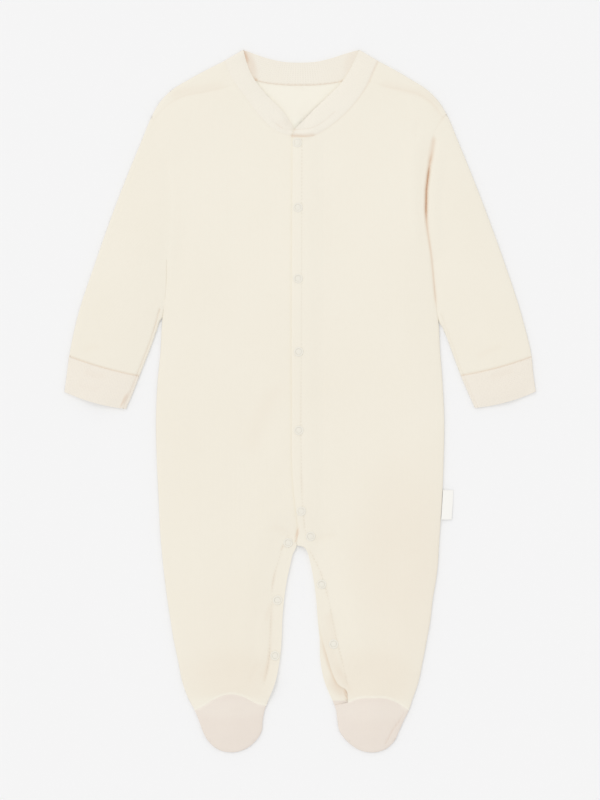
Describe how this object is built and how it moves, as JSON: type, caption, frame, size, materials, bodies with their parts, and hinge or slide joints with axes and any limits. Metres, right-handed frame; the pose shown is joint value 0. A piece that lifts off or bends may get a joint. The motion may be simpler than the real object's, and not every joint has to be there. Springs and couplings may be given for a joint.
{
  "type": "footed baby sleepsuit",
  "caption": "Footed long-sleeved baby sleepsuit laid flat on its back, ribbed neckband and cuffs, ring snaps down the front and along the inner legs.",
  "frame": {"origin": "on the surface the suit lies on, under the centre of its bounding box", "axes": "+Y up the suit from the feet to the neck, +X to the wearer's left, +Z from the back through the front"},
  "size_m": [0.4018, 0.5997, 0.0104],
  "materials": {
    "jersey": "matt cream cotton jersey",
    "rib": "matt cream cotton rib, a little warmer",
    "foot": "matt cotton jersey, slightly darker",
    "snap": "enamelled ring snap in the cloth's cream",
    "label": "bare woven label, off-white"
  },
  "bodies": {
    "root": {"back": "jersey", "front_left": "jersey", "front_right": "jersey", "sleeve_left": "jersey", "sleeve_right": "jersey", "cuff_left": "rib", "cuff_right": "rib", "neckband": "rib", "foot_top_left": "foot", "foot_top_right": "foot", "sole_left": "foot", "sole_right": "foot", "side_label": "label", "snap_front_1": "snap", "snap_front_2": "snap", "snap_front_3": "snap", "snap_front_4": "snap", "snap_front_5": "snap", "snap_front_6": "snap", "snap_leg_left_1": "snap", "snap_leg_left_2": "snap", "snap_leg_left_3": "snap", "snap_leg_right_1": "snap", "snap_leg_right_2": "snap", "snap_leg_right_3": "snap"}
  },
  "joints": []
}
